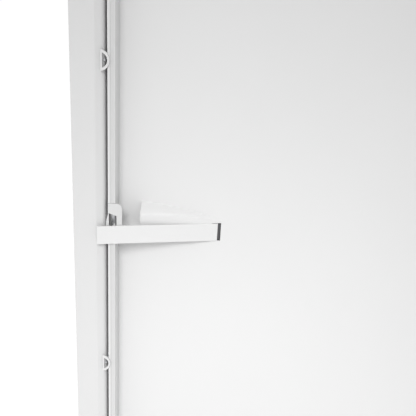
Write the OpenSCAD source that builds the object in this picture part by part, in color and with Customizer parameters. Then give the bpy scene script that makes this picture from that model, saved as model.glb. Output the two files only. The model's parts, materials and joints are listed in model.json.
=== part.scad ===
// Single-door sheet-steel locker with a recessed door, a side pull lever and a
// vertical lock bar that works four catch points along the free edge of the door.
// The front faces -Y. The origin is at floor level, in the middle of the outline.

/* [Cabinet] */
// Overall width across the two side sheets
cabinet_w = 500; // [380:10:700]
// Depth from the face of the frame to the back sheet
cabinet_d = 450; // [360:10:600]
// Height from the floor to the top sheet
cabinet_h = 1500; // [1400:10:1900]
// Thickness of the sides, back, top and floor
body_sheet = 1.0; // [0.8:0.1:1.5]
// Thickness of the stiles and rails
frame_sheet = 1.2; // [1.0:0.1:1.6]

/* [Frame] */
// Width of the flat face of each stile
stile_face = 24; // [18:1:36]
// Width of the bevelled return beside that face
bevel_w = 8.2; // [6:0.2:12]
// How far the stiles and rails run back to the door stop
frame_return = 28; // [27:0.5:36]
// Width of the door stop behind the door
stop_w = 14; // [10:1:20]
// Height of the rail over the door
head_h = 30; // [20:1:60]
// Height of the rail under the door
sill_h = 24; // [18:1:40]
// Height of the plinth board
plinth_h = 68; // [40:2:120]

/* [Door] */
// Gap between the door and the frame
door_gap = 3.9; // [3:0.1:5]
// Width of the raised rim around the door
rim_w = 7.6; // [7:0.2:14]
// Depth of the door panel behind the rim
recess = 23.3; // [18:0.1:26]
// Thickness of the door sheet
door_sheet = 1.0; // [0.8:0.1:1.4]
// Number of hinges
hinge_count = 3; // [2:1:4]
// Height of one hinge
hinge_h = 60; // [40:2:90]
// Outer radius of the hinge knuckles
knuckle_r = 2.9; // [2.6:0.1:3.2]
// Radius of the hinge pins
pin_r = 1.5; // [1.2:0.1:1.8]

/* [Catches] */
// Distance between neighbouring catch points
catch_pitch = 338; // [240:2:360]
// Height of each D-shaped eye
eye_h = 20.5; // [14:0.5:24]
// Width of each D-shaped eye
eye_w = 8.8; // [7:0.2:10]
// Thickness of the eye plate
eye_t = 1.9; // [1.4:0.1:2.4]
// Radius of the fixed catch studs
stud_r = 0.9; // [0.7:0.05:1]
// Lift of the lock bar when the lever is pulled
bar_lift = 8; // [5:0.5:12]
// Thickness of the lock bar
bar_t = 3.6; // [2.5:0.1:4]
// Depth of the lock bar, front to back
bar_d = 11; // [8:0.5:13]

/* [Lever] */
// Width of the pull lever, seen from the front
lever_h = 20; // [14:1:30]
// Thickness of the lever strip
lever_t = 1.5; // [1.2:0.1:2]
// How far the free end of the lever stands in front of the frame
lever_proud = 6; // [6:0.5:12]
// Height of the top edge of the lever below the latch centre
lever_drop = 0; // [0:0.5:10]
// Distance from the side of the cabinet to the lever slot
slot_x = 149.5; // [130:1:180]
// Turn of the lever from rest to fully pulled, in degrees
lever_turn = 25; // [15:1:30]

/* [Inside] */
// Height of the hat shelf above the floor of the cabinet
shelf_up = 1075; // [800:5:1200]
// Radius of the coat rail
rail_r = 10; // [8:0.5:14]
// Height of the feet under the plinth
foot_h = 12; // [10:1:30]

/* [Ventilation] */
// Number of louvres in each group
louvre_count = 5; // [2:1:8]
// Length of each louvre
louvre_l = 190; // [80:5:240]
// Distance between neighbouring louvres
louvre_pitch = 18; // [14:1:30]

/* [Fixings] */
// Radius of the wall-fixing holes in the back
wall_hole_r = 3.5; // [2.5:0.25:5]
// Horizontal spacing of the wall-fixing holes
wall_hole_dx = 300; // [200:10:320]
// Vertical spacing of the wall-fixing holes
wall_hole_dz = 1100; // [600:10:1200]
// Radius of the holes that join two cabinets side by side
gang_hole_r = 3.25; // [2.5:0.25:4]
// Front-to-back spacing of the joining holes
gang_hole_dy = 280; // [200:10:300]
// Vertical spacing of the joining holes
gang_hole_dz = 1200; // [600:10:1200]

/* [Hidden] */
$fn = 48;

paint = [0.93, 0.93, 0.92];
zinc = [0.72, 0.73, 0.75];
black = [0.12, 0.12, 0.12];

air = 0.3;                       // clearance between pieces that move past each other
x_left = -cabinet_w / 2;
x_right = cabinet_w / 2;
y_face = -(cabinet_d - lever_proud) / 2;   // face of the frame
y_back = y_face + cabinet_d;
z_top = cabinet_h - body_sheet;  // underside of the top sheet
z_plinth = foot_h + plinth_h;
z_sill = z_plinth + sill_h;
z_head = z_top - head_h;

return_x = stile_face + bevel_w;           // from the cabinet side to the stile's return
door_x = return_x + door_gap;              // from the cabinet side to the door edge
door_z0 = z_sill + door_gap;
door_z1 = z_head - door_gap;
latch_z = (door_z0 + door_z1) / 2;
panel_y = y_face + recess;                 // front of the recessed panel
panel_back = panel_y + door_sheet;
inner_x = door_x + rim_w;                  // inner side of the rim

pin_x = x_right - return_x - door_gap / 2;
pin_y = y_face - (knuckle_r + 0.1);
leaf_t = door_gap / 2 - 0.75;
leaf_y = y_face + 0.4;
leaf_d = frame_return - 8;
hinge_inset = 90;
hinge_z = [for (i = [0:hinge_count - 1])
    door_z0 + hinge_inset + i * (door_z1 - door_z0 - 2 * hinge_inset - hinge_h) / (hinge_count - 1)];

catch_z = [for (k = [-1.5, -0.5, 0.5, 1.5]) latch_z + k * catch_pitch];
stud_x = x_left + return_x + 1.3;
eye_x = x_left + return_x - 2.3;            // flat side of the eyes, in front of the bevel
finger_h = 4;
finger_y = y_face + 12;
finger_d = 4;
bar_x = x_left + door_x + (rim_w - bar_t) / 2;
bar_y = y_face + 9;
bar_over = 24;                             // bar beyond the outermost catch points
bar_z0 = catch_z[0] - bar_over;
bar_z1 = catch_z[3] + bar_over;

lever_z1 = latch_z - lever_drop;
lever_z0 = lever_z1 - lever_h;
lever_zc = (lever_z0 + lever_z1) / 2;
lever_x0 = x_left + stile_face + 1.7;
lever_x1 = x_left + slot_x;
lever_y0 = y_face - lever_proud;           // front of the lever at its free end
lever_y1 = panel_y - lever_t;              // front of the lever at the slot
lever_run = lever_x1 - lever_x0;
lever_slope = (lever_y1 - lever_y0) / lever_run;
plate_t = 1.2;                              // latch plate
latch_w = rim_w + 7.1;                      // from the door edge to the plate's right edge
latch_top = 24;                             // plate above the latch centre
latch_foot = 19;                            // plate below it, hidden by the lever
latch_r = 6;                                // rounded upper right corner
latch_tail = 7.8;                           // length bent back beyond the rim
latch_bend = 0.24;                          // slope of the bent part
nose_r = 32.6;                              // arc that bulges into the gap
nose_out = 2;
nose_half = 12.4;
window_in = 1.1;                            // from the door edge to the window
window_out = 1.4;                           // window beyond the inner side of the rim
window_up = 13.2;
window_fall = 2.8;                          // fall of the window's slanted top
window_low = 12;
hub_r = 4.5;
hub_pin_r = 2.0;
hub_fit = 0.05;
hub_foot = 2.3;                             // hub below the strip, clear of the crank's travel
ear_t = 2;
ear_r = 5.6;
tab_reach = 7;                              // tab of the hub that pushes the crank
bracket_w = 10;                             // bracket to the right of the hub's axis
hub_x = lever_x1 + 4;
hub_y = panel_back + hub_r + 1.4;
slot_w = 13;
slot_left = lever_x1 - 4;
hood_x = x_left + inner_x + 24;            // open end of the hood
hood_up = 20.8;                            // top of the hood above the latch centre
hood_proud = recess - 6.4 - lever_t;       // stays behind the lever
hood_r = 0.42 * hood_proud;                 // rounded edges of its open end, less than half its depth
hood_t = 0.4;
hood_tip = 0.8;                             // height of its closed end
hood_end = lever_x1 - 10;

crank_x = x_left + inner_x + 56.8;
crank_y = panel_back + 2.2;
crank_t = 2;
crank_arm = 5;                              // half the width of the crank's arms
crank_stud_r = 3;
crank_fit = 0.06;
peg_x = x_left + door_x + rim_w / 2;       // peg that lifts the bar
peg_r = 2;

shelf_z = z_sill + shelf_up;
shelf_y = y_face + 48;
louvre_z = [door_z0 + 42, door_z1 - 42 - (louvre_count - 1) * louvre_pitch];
louvre_h = 5;
card_w = 82;
card_h = 46;
card_z = louvre_z[1] - 40 - card_h;
rail_z = shelf_z - 55;
rail_y = (y_face + y_back) / 2 + 20;
foot_inset = 55;
foot_x = cabinet_w / 2 - foot_inset;
foot_y = [y_face + foot_inset + 5, y_back - foot_inset];
plate_z = foot_h + 26;

// A box given by its two corners
module span(a, b) { translate(a) cube(b - a); }

// A cylinder along Y
module rod_y(r, p, len) { translate(p) rotate([-90, 0, 0]) cylinder(r = r, h = len); }

// A cylinder along X
module rod_x(r, p, len) { translate(p) rotate([0, 90, 0]) cylinder(r = r, h = len); }

// A domed rivet head whose seat is at p, facing along dir
module rivet(p, rot, r = 2.4) {
    translate(p) rotate(rot) {
        cylinder(r = r, h = 0.6);
        cylinder(r1 = r * 0.85, r2 = r * 0.4, h = 1.2, $fn = 24);
    }
}

// ---------- carcass ----------

module side_sheet(x) {
    difference() {
        span([x, y_face + frame_sheet, foot_h], [x + body_sheet, y_back, z_top]);
        for (dy = [-1, 1], dz = [-1, 1])
            rod_x(gang_hole_r, [x - 1, (y_face + y_back) / 2 + dy * gang_hole_dy / 2,
                                latch_z + dz * gang_hole_dz / 2], body_sheet + 2);
    }
}

module left_side() { color(paint) side_sheet(x_left); }

module right_side() { color(paint) side_sheet(x_right - body_sheet); }

module back_panel() {
    lap = 15;
    color(paint) difference() {
        union() {
            span([x_left + body_sheet, y_back - body_sheet, foot_h], [x_right - body_sheet, y_back, z_top]);
            for (x = [x_left + body_sheet, x_right - 2 * body_sheet])
                span([x, y_back - lap, z_sill + 20], [x + body_sheet, y_back, z_top]);
        }
        for (dx = [-1, 1], dz = [-1, 1])
            rod_y(wall_hole_r, [dx * wall_hole_dx / 2, y_back - 5, latch_z + dz * wall_hole_dz / 2], 10);
    }
}

module top_panel() {
    color(paint) span([x_left, y_face, z_top], [x_right, y_back, cabinet_h]);
}

module floor_panel() {
    color(paint) span([x_left + body_sheet, y_face + frame_return, z_sill - body_sheet],
                      [x_right - body_sheet, y_back - body_sheet, z_sill]);
}

module plinth() {
    color(paint) {
        span([x_left + return_x, y_face, foot_h], [x_right - return_x, y_face + frame_sheet, z_plinth]);
        span([x_left + return_x, y_face, foot_h], [x_right - return_x, y_face + 20, foot_h + frame_sheet]);
    }
}

// Section of a stile, drawn for the left side with x from the cabinet side and y from the face
module stile_section() {
    t = frame_sheet;
    lap = frame_return - 2;
    polygon([[0, 0], [stile_face, 0], [return_x - 1.8, 2.6], [return_x - 0.5, 3.9], [return_x, 6],
             [return_x, frame_return - t], [return_x + stop_w, frame_return - t],
             [return_x + stop_w, frame_return], [return_x - t, frame_return], [return_x - t, 6.4],
             [return_x - t - 0.4, 4.8], [return_x - t - 1.2, 3.9], [stile_face - 0.3, t],
             [body_sheet + t, t], [body_sheet + t, lap], [body_sheet, lap], [body_sheet, t], [0, t]]);
}

module left_stile() {
    color(paint) difference() {
        translate([x_left, y_face, foot_h]) linear_extrude(z_top - foot_h) stile_section();
        // notch that lets the lifting linkage past the door stop
        span([x_left + return_x, y_face + frame_return - 2, lever_zc - 24],
             [x_left + return_x + stop_w + 1, y_face + frame_return + 1, lever_zc + 24 + bar_lift]);
    }
}

module right_stile() {
    color(paint) mirror([1, 0, 0])
        translate([x_left, y_face, foot_h]) linear_extrude(z_top - foot_h) stile_section();
}

// A rail between the stiles; dir is 1 when its door edge faces down
module rail(z0, z1, dir) {
    x0 = x_left + return_x;
    x1 = x_right - return_x;
    edge = dir > 0 ? z0 : z1 - frame_sheet;
    span([x0, y_face, z0], [x1, y_face + frame_sheet, z1]);
    stop_y = y_face + frame_return - frame_sheet;
    span([x0, y_face, edge], [x1, stop_y, edge + frame_sheet]);
    span([x0 + stop_w, stop_y, dir > 0 ? z0 - stop_w : z1 - frame_sheet],
         [x1 - stop_w, stop_y + frame_sheet, dir > 0 ? z0 + frame_sheet : z1 + stop_w]);
}

module head_rail() { color(paint) rail(z_head, z_top, 1); }

module sill_rail() { color(paint) rail(z_plinth, z_sill, -1); }

module catch_studs() {
    color(zinc) for (z = catch_z) {
        y_stop = y_face + frame_return - frame_sheet;
        rod_y(stud_r, [stud_x, y_face + 0.2, z], finger_y - y_face - 0.7);
        rod_y(stud_r * 0.7, [stud_x, finger_y - 0.6, z], finger_d + 1.2);
        rod_y(stud_r, [stud_x, finger_y + finger_d + 0.5, z], y_stop - finger_y - finger_d - 0.5);
    }
}

module door_buffers() {
    pad_t = frame_return - frame_sheet - recess - door_sheet - air;
    color(black) for (z = catch_z)
        rod_y(5, [x_left + inner_x + 1, y_face + recess + door_sheet + air, z + 30], pad_t);
}

module body_rivets() {
    color(zinc) for (s = [-1, 1], k = [0:6])
        rivet([s * cabinet_w / 2, y_back - 8, z_sill + 80 + k * (z_top - z_sill - 160) / 6], [0, s * 90, 0]);
}

// ---------- inside ----------

module hat_shelf() {
    x0 = x_left + body_sheet + 0.5;
    x1 = x_right - body_sheet - 0.5;
    y1 = y_back - body_sheet - 16;
    color(paint) {
        span([x0, shelf_y, shelf_z], [x1, y1, shelf_z + body_sheet]);
        span([x0, shelf_y, shelf_z - 18], [x1, shelf_y + body_sheet, shelf_z + body_sheet]);
        span([x0, y1 - body_sheet, shelf_z], [x1, y1, shelf_z + 14]);
    }
}

module shelf_clips() {
    color(zinc) for (s = [-1, 1], y = [shelf_y + 40, y_back - 70]) {
        x = s * (cabinet_w / 2 - body_sheet);
        span([min(x, x - s * 1.5), y - 9, shelf_z - 16], [max(x, x - s * 1.5), y + 9, shelf_z]);
        span([min(x, x - s * 16), y - 9, shelf_z - 1.5], [max(x, x - s * 16), y + 9, shelf_z]);
    }
}

module coat_rail() {
    len = cabinet_w - 2 * body_sheet - 2;
    color(zinc) difference() {
        rod_x(rail_r, [-len / 2, rail_y, rail_z], len);
        rod_x(rail_r - 1.2, [-len / 2 - 1, rail_y, rail_z], len + 2);
    }
}

module rail_brackets() {
    cup = 12;
    color(zinc) for (s = [-1, 1]) {
        x = s > 0 ? cabinet_w / 2 - body_sheet - 1 : -cabinet_w / 2 + body_sheet;
        difference() {
            union() {
                rod_x(rail_r + 8, [x, rail_y, rail_z], 1);
                rod_x(rail_r + 2, [s > 0 ? x - cup : x, rail_y, rail_z], cup + 1);
            }
            rod_x(rail_r + 0.1, [s > 0 ? x - cup - 1 : x + 1, rail_y, rail_z], cup + 1);
        }
    }
}

module coat_hooks() {
    y = y_back - body_sheet;
    color(zinc) for (x = [-120, 0, 120]) {
        z = rail_z - 130;
        span([x - 9, y - 1.5, z - 20], [x + 9, y, z + 20]);
        rod_y(3, [x, y - 34, z - 8], 33);
        translate([x, y - 34, z - 11.5]) cylinder(r = 3.4, h = 19);
        translate([x, y - 34, z + 8]) sphere(r = 5);
    }
}

// ---------- feet ----------

module at_feet() { for (s = [-1, 1], y = foot_y) translate([s * foot_x, y, 0]) children(); }

module foot_plates() {
    reach = foot_inset - body_sheet;
    color(zinc) for (s = [-1, 1], y = foot_y) difference() {
        x = s * (cabinet_w / 2 - body_sheet);
        union() {
            span([min(x, x - s * (reach + 22)), y - 22, plate_z], [max(x, x - s * (reach + 22)), y + 22, plate_z + 2]);
            span([min(x, x - s * 2), y - 22, plate_z - 16], [max(x, x - s * 2), y + 22, plate_z + 2]);
        }
        translate([s * foot_x, y, plate_z - 1]) cylinder(r = 4.1, h = 4);
    }
}

module foot_studs() {
    color(zinc) at_feet() {
        translate([0, 0, 8]) cylinder(r = 4, h = plate_z + 12 - 8);
        translate([0, 0, plate_z + 2]) cylinder(r = 7.5, h = 5, $fn = 6);
        translate([0, 0, plate_z - 5]) cylinder(r = 7.5, h = 5, $fn = 6);
    }
}

module foot_pads() {
    color(black) at_feet() {
        cylinder(r = 17, h = 5);
        translate([0, 0, 5]) cylinder(r1 = 17, r2 = 10, h = 3);
    }
}

// ---------- hinges ----------

module at_hinges() { for (z = hinge_z) translate([pin_x, pin_y, z]) children(); }

// side is 1 for the frame's leaf and -1 for the door's; spans lists its knuckles
module hinge_leaf(side, spans) {
    x0 = side > 0 ? 0.5 : -0.5 - leaf_t;
    for (k = spans) difference() {
        union() {
            translate([0, 0, k[0]]) cylinder(r = knuckle_r, h = k[1] - k[0]);
            span([x0, 0, k[0]], [x0 + leaf_t, leaf_y - pin_y + 1, k[1]]);
        }
        translate([0, 0, k[0] - 1]) cylinder(r = pin_r + 0.06, h = k[1] - k[0] + 2);
    }
    span([x0, leaf_y - pin_y, 0], [x0 + leaf_t, leaf_y - pin_y + leaf_d, hinge_h]);
}

module hinge_frame_leaves() {
    third = hinge_h / 3;
    color(zinc) at_hinges() hinge_leaf(1, [[0, third - air / 2], [2 * third + air / 2, hinge_h]]);
}

module hinge_door_leaves() {
    third = hinge_h / 3;
    color(zinc) at_hinges() hinge_leaf(-1, [[third + air / 2, 2 * third - air / 2]]);
}

module hinge_pins() {
    color(zinc) at_hinges() {
        translate([0, 0, -1.5]) cylinder(r = pin_r, h = hinge_h + 3);
        translate([0, 0, hinge_h]) cylinder(r = knuckle_r, h = 1.5);
        translate([0, 0, -1.5]) cylinder(r = knuckle_r, h = 1.5);
    }
}

module leaf_rivets(x, dir) {
    for (z = hinge_z, k = [0.2, 0.8])
        translate([x, y_face + frame_return / 2, z + k * hinge_h])
            rotate([0, dir * 90, 0]) cylinder(r = 2.2, h = 0.7);
}

module hinge_frame_rivets() { color(zinc) leaf_rivets(x_right - return_x + frame_sheet, 1); }

module hinge_door_rivets() { color(zinc) leaf_rivets(x_right - door_x - door_sheet, -1); }

// ---------- door ----------

module door_panel() {
    x0 = x_left + door_x;
    x1 = x_right - door_x;
    ix0 = x0 + rim_w;
    ix1 = x1 - rim_w;
    t = door_sheet;
    color(paint) difference() {
        span([x0, y_face, door_z0], [x1, panel_back, door_z1]);
        // front recess
        span([ix0, y_face - 1, door_z0 + rim_w], [ix1, panel_y, door_z1 - rim_w]);
        // hollow of the raised rim, open at the back
        difference() {
            span([x0 + t, y_face + t, door_z0 + t], [x1 - t, panel_back + 1, door_z1 - t]);
            span([ix0 - t, y_face, door_z0 + rim_w - t], [ix1 + t, panel_back + 2, door_z1 - rim_w + t]);
        }
        // slots for the bar fingers
        for (z = catch_z)
            span([x0 - 1, finger_y - 1, z + stud_r + 0.2], [x0 + t + 0.4, finger_y + finger_d + 1,
                 z + stud_r + 0.6 + finger_h + bar_lift + 1]);
        // seat and window of the latch plate
        span([x0 - 1, y_face - 1, latch_z - latch_foot], [ix0 + 0.1, y_face + plate_t, latch_z + latch_top]);
        span([x0 + window_in, y_face - 1, latch_z - window_low], [ix0 + 1, panel_y - 4, latch_z + window_low]);
        // lever slot
        span([slot_left, panel_y - 1, lever_z0 - 1.2], [slot_left + slot_w, panel_back + 1, lever_z1 + 1.2]);
        // holes of the louvres
        for (z0 = louvre_z, k = [0:louvre_count - 1])
            span([-louvre_l / 2 + 3, panel_y - 1, z0 + k * louvre_pitch - louvre_h / 2],
                 [louvre_l / 2 - 3, panel_back + 1, z0 + k * louvre_pitch + louvre_h / 2 + 2]);
    }
}

module door_stiffener() {
    w = 46;
    d = 12;
    t = door_sheet;
    x = 60;
    z0 = louvre_z[0] + louvre_count * louvre_pitch + 10;
    z1 = louvre_z[1] - 20;
    color(paint) translate([x, panel_back, z0]) linear_extrude(z1 - z0)
        polygon([[-w / 2 - 10, 0], [-w / 2, 0], [-w / 2 + 5, d - t], [w / 2 - 5, d - t], [w / 2, 0],
                 [w / 2 + 10, 0], [w / 2 + 10, t], [w / 2 + 0.7, t], [w / 2 - 4.3, d], [-w / 2 + 4.3, d],
                 [-w / 2 - 0.7, t], [-w / 2 - 10, t]]);
}

// One D-shaped eye, flat side to the left, lying in the XZ plane
module d_eye() {
    flat_w = 1.6;
    band = 2.3;
    half = eye_h / 2;
    big = (half * half + eye_w * eye_w) / (2 * eye_w);
    in_w = eye_w - flat_w - band;
    in_half = half - 3.2;
    small = (in_half * in_half + in_w * in_w) / (2 * in_w);
    rotate([90, 0, 0]) translate([0, 0, -eye_t]) linear_extrude(eye_t) difference() {
        intersection() {
            translate([eye_w - big, 0]) circle(r = big, $fn = 96);
            translate([0, -half]) square([eye_w, eye_h]);
        }
        intersection() {
            translate([eye_w - band - small, 0]) circle(r = small, $fn = 96);
            translate([flat_w, -half]) square([eye_w, eye_h]);
        }
    }
}

module door_eyes() {
    color(paint) for (z = catch_z)
        translate([eye_x, y_face - eye_t, z]) d_eye();
}

// Outline of the latch plate seen from the front, x from the cabinet side, z from the latch centre
module latch_outline() {
    right = door_x + latch_w;
    win_x0 = door_x + window_in;
    win_x1 = inner_x + window_out;
    nose_x = door_x - nose_out;
    difference() {
        union() {
            translate([door_x, -latch_foot]) square([latch_w, latch_foot + latch_top - latch_r]);
            translate([door_x, 0]) square([latch_w - latch_r, latch_top]);
            translate([right - latch_r, latch_top - latch_r]) circle(r = latch_r);
            intersection() {
                translate([nose_x + nose_r, 0]) circle(r = nose_r, $fn = 128);
                translate([nose_x - 1, -nose_half]) square([win_x0 - nose_x + 1, 2 * nose_half]);
            }
        }
        polygon([[win_x0, window_up], [win_x1, window_up - window_fall], [win_x1, -window_low],
                 [win_x0, -window_low]]);
    }
}

module latch_plate() {
    end_x = inner_x + latch_tail;
    end_y = latch_tail * latch_bend;
    color(paint) intersection() {
        translate([x_left, y_face + 5, latch_z]) rotate([90, 0, 0]) linear_extrude(10) latch_outline();
        translate([x_left, y_face, latch_z - latch_foot - 1]) linear_extrude(latch_foot + latch_top + 2)
            polygon([[stile_face, 0], [inner_x, 0], [end_x, end_y], [end_x, end_y + plate_t],
                     [inner_x, plate_t], [stile_face, plate_t]]);
    }
}

// Wedge whose big end stands at the open end of the hood; inset is above zero for its hollow
module hood_wedge(inset) {
    open_by = inset > 0 ? 1 : 0;
    z_low = lever_z0 - hood_r;
    z_high = latch_z + hood_up - 0.5;
    hull() {
        for (z = [z_low + hood_r, z_high - hood_r])
            translate([hood_x - open_by, panel_y - hood_proud + hood_r, z]) rotate([0, 90, 0])
                cylinder(r = hood_r - inset, h = 2, $fn = 32);
        span([hood_x - open_by, panel_y - hood_tip, z_low + inset], [hood_x + 2, panel_y + open_by, z_high - inset]);
        span([hood_end - 2, panel_y - hood_tip + inset, lever_z0 + 4 + inset],
             [hood_end - 2 * inset, panel_y + open_by, lever_z0 + 4 + (z_high - lever_z0) / 3 - inset]);
    }
}

module lever_hood() {
    color(paint) difference() {
        hood_wedge(0);
        hood_wedge(hood_t);
    }
}

// Point on the front of the lever at distance s from its free end, measured along x
function lever_front(s) = [lever_x0 + s, lever_y0 + s * lever_slope];

module pull_lever() {
    a = lever_front(0);
    b = lever_front(lever_run);
    color(paint) translate([0, 0, lever_z0]) linear_extrude(lever_h)
        polygon([a, b, [lever_x1 + 2.5, panel_y - 1.2], [hub_x - 1, hub_y - hub_r + 0.4],
                 [hub_x - 1, hub_y - hub_r + 0.4 + lever_t], [lever_x1 + 1.4, panel_y + 0.4],
                 [b[0], b[1] + lever_t], [a[0], a[1] + lever_t]]);
}

module lever_hub() {
    color(black) difference() {
        union() {
            translate([hub_x, hub_y, lever_z0 - hub_foot]) cylinder(r = hub_r, h = lever_h + hub_foot);
            span([hub_x - tab_reach, hub_y - 2, lever_zc + crank_arm + 0.5], [hub_x, hub_y + 3, lever_zc + crank_arm + 4]);
        }
        translate([hub_x, hub_y, lever_z0 - hub_foot - 1]) cylinder(r = hub_pin_r + hub_fit, h = lever_h + hub_foot + 2);
        pull_lever_cut();
    }
}

// Room for the end of the lever strip in the hub
module pull_lever_cut() {
    translate([0, 0, lever_z0 - 1]) linear_extrude(lever_h + 2)
        polygon([[lever_x1 + 2.5, panel_y - 1.2], [hub_x - 1, hub_y - hub_r + 0.4],
                 [hub_x - 1, hub_y - hub_r + 0.4 + lever_t], [lever_x1 + 1.4, panel_y + 0.4]]);
}

module lever_bracket() {
    x0 = hub_x - tab_reach;
    color(zinc) difference() {
        union() {
            for (z = [lever_z0 - hub_foot - air - ear_t, lever_z1 + air]) hull() {
                translate([hub_x, hub_y, z]) cylinder(r = ear_r, h = ear_t, $fn = 32);
                span([x0, panel_back, z], [hub_x + bracket_w, panel_back + 1, z + ear_t]);
            }
            for (z = [lever_z0 - 16, lever_z1 + 3])
                span([x0, panel_back, z], [hub_x + bracket_w, panel_back + 1.2, z + 13]);
            span([hub_x + 7.5, panel_back, lever_z0 - 16], [hub_x + bracket_w, panel_back + 1.2, lever_z1 + 16]);
        }
        translate([hub_x, hub_y, lever_z0 - 20]) cylinder(r = hub_pin_r + hub_fit, h = lever_h + 40);
    }
}

module lever_pin() {
    z0 = lever_z0 - hub_foot - air - ear_t;
    color(zinc) translate([hub_x, hub_y, z0 - 1.5]) {
        cylinder(r = hub_pin_r, h = lever_z1 + air + ear_t + 8 - z0);
        cylinder(r = 3.6, h = 1.5);
    }
}

module return_spring() {
    n = 4;
    wire = 0.6;
    color(zinc) for (k = [0:n - 1])
        translate([hub_x, hub_y, lever_z1 + air + 2.1 + wire + k * 1.25])
            rotate_extrude() translate([3.4, 0]) circle(r = wire, $fn = 16);
}

// ---------- lifting linkage and lock bar ----------

module crank_stud() {
    color(zinc) {
        rod_y(crank_stud_r, [crank_x, panel_back, lever_zc], 2.2 + crank_t + 2);
        rod_y(6, [crank_x, panel_back, lever_zc], 1.9);
        rod_y(5, [crank_x, crank_y + crank_t + 0.3, lever_zc], 1.6);
    }
}

module lift_crank() {
    color(zinc) translate([0, crank_y + crank_t, 0]) rotate([90, 0, 0]) linear_extrude(crank_t)
        difference() {
            union() {
                translate([peg_x, lever_zc]) circle(r = crank_arm);
                translate([crank_x, lever_zc]) circle(r = 10);
                translate([peg_x, lever_zc - crank_arm]) square([hub_x - hub_r - 0.8 - peg_x, 2 * crank_arm]);
            }
            translate([crank_x, lever_zc]) circle(r = crank_stud_r + crank_fit);
            translate([peg_x, lever_zc]) circle(r = peg_r);
        }
}

module crank_peg() {
    color(zinc) {
        rod_y(peg_r, [peg_x, crank_y - 1, lever_zc], crank_t + 6);
        rod_y(3.4, [peg_x, crank_y + crank_t, lever_zc], 0.8);
    }
}

module lock_bar() {
    color(zinc) span([bar_x, bar_y, bar_z0], [bar_x + bar_t, bar_y + bar_d, bar_z1]);
}

module bar_fingers() {
    color(zinc) for (z = catch_z)
        span([stud_x - 0.5, finger_y, z + stud_r + 0.6], [bar_x, finger_y + finger_d, z + stud_r + 0.6 + finger_h]);
}

module centre_hook() {
    x = bar_x + 0.6;
    stem = 1.4;
    foot = -11;
    bend = -5.2;
    tip = [4.0, -1.0];
    color(paint) translate([x, bar_y, latch_z]) rotate([90, 0, 0]) linear_extrude(6)
        polygon([[0, foot], [stem, foot], [stem, bend], tip, tip + [-1.0, 0.6], [0, bend + 0.4]]);
}

module bar_lug() {
    w = 4.6;
    y0 = bar_y + bar_d;
    y1 = crank_y + crank_t + 0.8 + air;
    lug_t = 2;
    h = 10;
    color(zinc) difference() {
        union() {
            span([bar_x, y0, lever_zc - h], [bar_x + bar_t, y1 + lug_t, lever_zc - h + 3]);
            span([bar_x - 2, y1, lever_zc - h], [bar_x + bar_t + 3, y1 + lug_t, lever_zc + h]);
        }
        translate([peg_x - w / 2 - 0.1, y1 - 1, lever_zc - w / 2]) cube([w + 0.9, lug_t + 2, w]);
    }
}

module bar_guides() {
    color(black) for (k = [-1, 0, 1]) {
        z = latch_z + k * (catch_pitch + 60) + 60;
        difference() {
            span([x_left + door_x + door_sheet, bar_y - 3, z - 6],
                 [x_left + inner_x - door_sheet, bar_y + bar_d + 2.5, z + 6]);
            span([bar_x - air, bar_y - air, z - 7], [bar_x + bar_t + air, bar_y + bar_d + air, z + 7]);
        }
    }
}

// ---------- trim on the door ----------

module louvre_blades() {
    t = door_sheet;
    color(paint) for (z0 = louvre_z, k = [0:louvre_count - 1])
        translate([-louvre_l / 2, panel_y, z0 + k * louvre_pitch]) rotate([90, 0, 90])
            linear_extrude(louvre_l)
                polygon([[0, louvre_h / 2 + 5], [0, louvre_h / 2 + 2], [-4.6, -louvre_h / 2 - 1],
                         [-5.6, -louvre_h / 2 - 1], [-5.6, -louvre_h / 2], [-1.2, louvre_h / 2 + 3.6]]);
}

module card_holder() {
    t = 0.8;
    color(zinc) translate([-card_w / 2, panel_y - t, card_z]) {
        cube([card_w, t, card_h]);
        for (x = [0, card_w - 4]) translate([x, -1.6, 0]) cube([4, 0.8, card_h]);
        for (x = [0, card_w - 0.8]) translate([x, -1.6, 0]) cube([0.8, 1.6 + t, card_h]);
        translate([0, -1.6, 0]) cube([card_w, 0.8, 4]);
        translate([0, -1.6, 0]) cube([card_w, 1.6 + t, 0.8]);
    }
}

module card_holder_rivets() {
    color(zinc) for (s = [-1, 1])
        rivet([s * (card_w / 2 - 10), panel_y - 0.8, card_z + card_h / 2], [90, 0, 0], 1.8);
}

left_side();
right_side();
back_panel();
top_panel();
floor_panel();
plinth();
left_stile();
right_stile();
head_rail();
sill_rail();
catch_studs();
door_buffers();
hinge_frame_leaves();
hinge_pins();
hinge_frame_rivets();
hat_shelf();
shelf_clips();
coat_rail();
rail_brackets();
coat_hooks();
foot_plates();
foot_studs();
foot_pads();
body_rivets();
door_panel();
door_stiffener();
hinge_door_leaves();
hinge_door_rivets();
door_eyes();
latch_plate();
lever_hood();
lever_bracket();
lever_pin();
crank_stud();
bar_guides();
louvre_blades();
card_holder();
card_holder_rivets();
pull_lever();
lever_hub();
return_spring();
lift_crank();
crank_peg();
lock_bar();
bar_fingers();
centre_hook();
bar_lug();
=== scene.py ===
"""Looks of a sheet-steel locker: folded and pressed sheets, fittings, finishes and a plain stage."""
import json
import math

import bmesh
import bpy
from bpy.props import FloatProperty, FloatVectorProperty, IntProperty, PointerProperty
from mathutils import Matrix, Vector


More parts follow.
